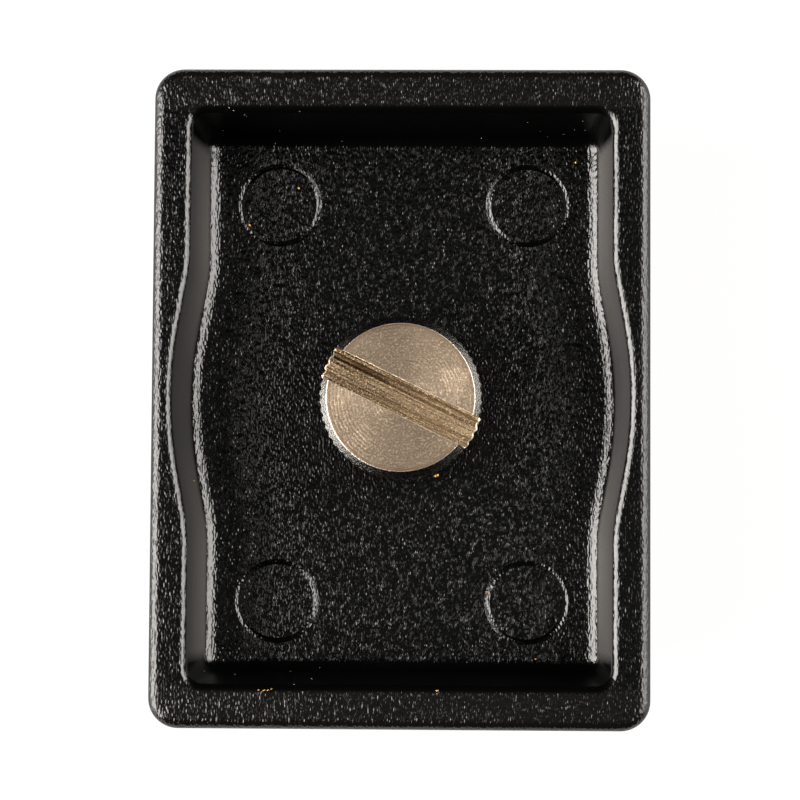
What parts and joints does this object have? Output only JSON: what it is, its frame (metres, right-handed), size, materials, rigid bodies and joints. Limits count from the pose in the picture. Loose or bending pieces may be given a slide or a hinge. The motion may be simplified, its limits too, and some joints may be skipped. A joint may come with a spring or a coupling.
{
  "type": "tripod quick release plate",
  "caption": "Die-cast dovetail plate with a hollow underside, a ribbed rubber pad and a captive, knurled and slotted camera screw that fastens a camera to a tripod head.",
  "frame": {"origin": "middle of the rubber pad's contact face, on the screw's axis", "axes": "+Y along the plate's length, +X across its width, +Z from the pad towards the hollow side's rim"},
  "size_m": [0.0382, 0.0508, 0.014],
  "materials": {
    "crinkle_paint": "black crinkle paint on an aluminium die casting",
    "pad_rubber": "matte black, ribbed",
    "plated_brass": "turned brass, thin nickel plate",
    "spring_steel": "plain spring steel"
  },
  "bodies": {
    "plate": {"plate_casting": "crinkle_paint", "friction_pad": "pad_rubber"},
    "retainer": {"retaining_ring": "spring_steel"},
    "screw": {"camera_screw": "plated_brass"}
  },
  "joints": [
    {"name": "screw_float", "type": "slide", "parent": "plate", "child": "retainer", "axis": [0, 0, 1], "range_m": [-0.00405, 0]},
    {"name": "screw_turn", "type": "hinge", "parent": "retainer", "child": "screw", "pos_m": [0, 0, 0.007], "axis": [0, 0, 1], "continuous": true}
  ]
}
